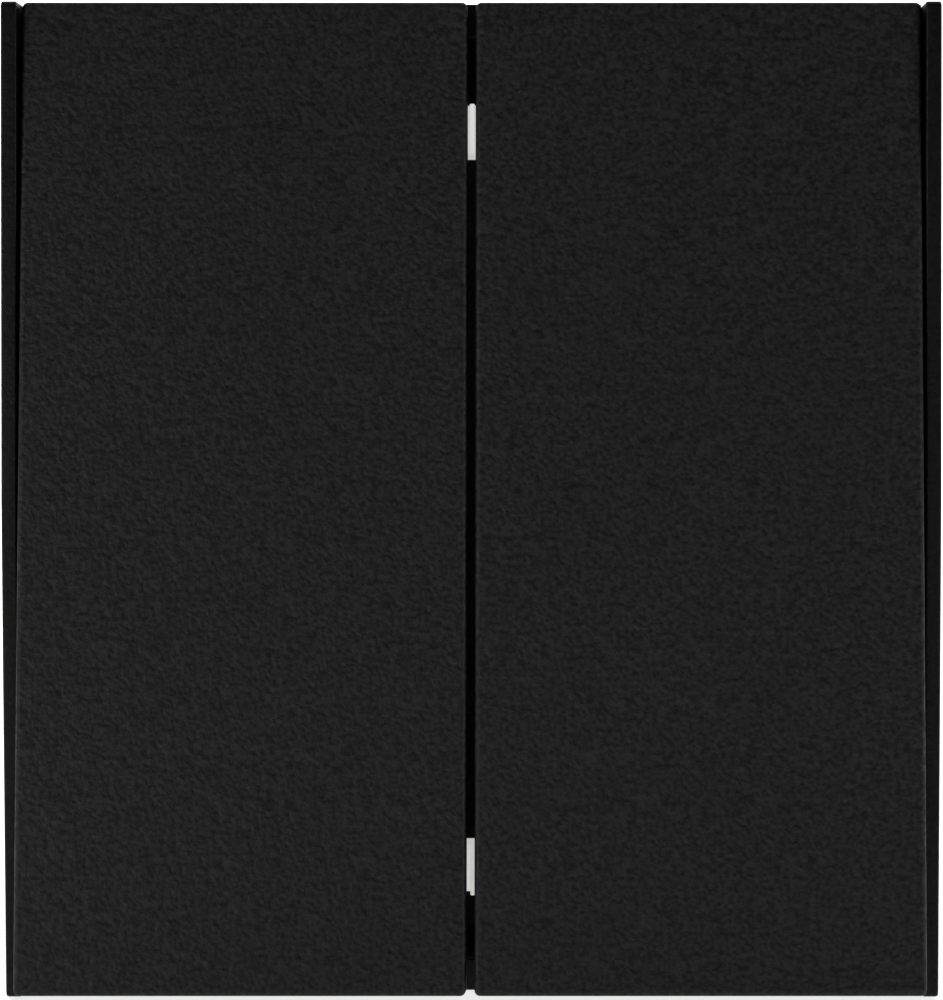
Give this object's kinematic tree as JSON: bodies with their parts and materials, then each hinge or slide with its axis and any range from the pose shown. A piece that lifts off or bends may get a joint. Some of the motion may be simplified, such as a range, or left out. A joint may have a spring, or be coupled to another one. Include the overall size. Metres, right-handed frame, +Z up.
{
  "type": "two-gang rocker light switch",
  "caption": "Modular two-gang wall switch insert: matt black rockers between slim cheeks, see-saw contacts, push-in terminals and spring latches.",
  "frame": {"origin": "centre of the flange's back face, which seats on the mounting frame", "axes": "+X to the right seen from the front, +Y into the wall, +Z up"},
  "size_m": [0.045, 0.035, 0.048],
  "materials": {
    "black_textured": "matt black, fine spark-eroded grain",
    "actuator_white": "natural white moulding",
    "cover_grey": "light grey moulding",
    "housing_grey": "dark grey glass-filled moulding",
    "button_orange": "satin orange moulding",
    "copper": "bright copper strip",
    "brass": "stamped brass",
    "contact_silver": "silver alloy",
    "spring_steel": "rolled spring steel",
    "zinc_steel": "zinc-plated steel",
    "opal": "opal white light guide",
    "board_green": "green solder mask",
    "lamp_clear": "clear resin",
    "component_black": "moulded component body"
  },
  "bodies": {
    "base": {"front_frame": "black_textured", "mechanism_cover": "cover_grey", "terminal_cover": "cover_grey", "base_housing": "housing_grey", "fixed_rivets_left": "contact_silver", "fixed_rivets_right": "contact_silver", "cover_screws": "zinc_steel", "terminal_cover_screws": "zinc_steel", "light_guide_upper": "opal", "light_guide_lower": "opal", "indicator_board": "board_green", "led_upper": "lamp_clear", "led_lower": "lamp_clear", "dropper_resistor": "component_black", "rectifier_diode": "component_black", "board_pins": "brass", "upper_terminal_left": "brass", "upper_clamp_left": "spring_steel", "upper_terminal_right": "brass", "upper_clamp_right": "spring_steel", "common_terminal_left": "brass", "common_clamp_left": "spring_steel", "common_terminal_right": "brass", "common_clamp_right": "spring_steel", "lower_terminal_left": "brass", "lower_clamp_left": "spring_steel", "lower_terminal_right": "brass", "lower_clamp_right": "spring_steel"},
    "rocker_left": {"rocker_left": "black_textured", "actuator_left": "actuator_white", "plunger_left": "actuator_white", "plunger_spring_left": "spring_steel"},
    "contact_left": {"moving_contact_left": "copper", "moving_rivets_left": "contact_silver"},
    "rocker_right": {"rocker_right": "black_textured", "actuator_right": "actuator_white", "plunger_right": "actuator_white", "plunger_spring_right": "spring_steel"},
    "contact_right": {"moving_contact_right": "copper", "moving_rivets_right": "contact_silver"},
    "upper_button_left": {"upper_button_left": "button_orange"},
    "upper_button_right": {"upper_button_right": "button_orange"},
    "common_button_left": {"common_button_left": "button_orange"},
    "common_button_right": {"common_button_right": "button_orange"},
    "lower_button_left": {"lower_button_left": "button_orange"},
    "lower_button_right": {"lower_button_right": "button_orange"},
    "latch_top": {"latch_top": "spring_steel"},
    "latch_bottom": {"latch_bottom": "spring_steel"}
  },
  "joints": [
    {"name": "rocker_left", "type": "hinge", "parent": "base", "child": "rocker_left", "pos_m": [-0.01089, -0.006, 0], "axis": [1, 0, 0], "range_deg": [0, 11]},
    {"name": "contact_left", "type": "hinge", "parent": "base", "child": "contact_left", "pos_m": [-0.01089, 0.00547, 0], "axis": [1, 0, 0], "range_deg": [-12, 0]},
    {"name": "rocker_right", "type": "hinge", "parent": "base", "child": "rocker_right", "pos_m": [0.01089, -0.006, 0], "axis": [1, 0, 0], "range_deg": [0, 11]},
    {"name": "contact_right", "type": "hinge", "parent": "base", "child": "contact_right", "pos_m": [0.01089, 0.00547, 0], "axis": [1, 0, 0], "range_deg": [-12, 0]},
    {"name": "upper_button_left", "type": "slide", "parent": "base", "child": "upper_button_left", "axis": [0, -1, 0], "range_m": [0, 0.0012], "stiffness_N_per_m": 2500},
    {"name": "upper_button_right", "type": "slide", "parent": "base", "child": "upper_button_right", "axis": [0, -1, 0], "range_m": [0, 0.0012], "stiffness_N_per_m": 2500},
    {"name": "common_button_left", "type": "slide", "parent": "base", "child": "common_button_left", "axis": [0, -1, 0], "range_m": [0, 0.0012], "stiffness_N_per_m": 2500},
    {"name": "common_button_right", "type": "slide", "parent": "base", "child": "common_button_right", "axis": [0, -1, 0], "range_m": [0, 0.0012], "stiffness_N_per_m": 2500},
    {"name": "lower_button_left", "type": "slide", "parent": "base", "child": "lower_button_left", "axis": [0, -1, 0], "range_m": [0, 0.0012], "stiffness_N_per_m": 2500},
    {"name": "lower_button_right", "type": "slide", "parent": "base", "child": "lower_button_right", "axis": [0, -1, 0], "range_m": [0, 0.0012], "stiffness_N_per_m": 2500},
    {"name": "latch_top", "type": "hinge", "parent": "base", "child": "latch_top", "pos_m": [0, 0.01485, 0.0198], "axis": [1, 0, 0], "range_deg": [0, 6.2], "stiffness_Nm_per_rad": 1},
    {"name": "latch_bottom", "type": "hinge", "parent": "base", "child": "latch_bottom", "pos_m": [0, 0.01485, -0.0198], "axis": [-1, 0, 0], "range_deg": [0, 6.2], "stiffness_Nm_per_rad": 1}
  ],
  "couplings": [
    {"joint": "contact_left", "follows": "rocker_left", "ratio": -1.09},
    {"joint": "contact_right", "follows": "rocker_right", "ratio": -1.09}
  ]
}
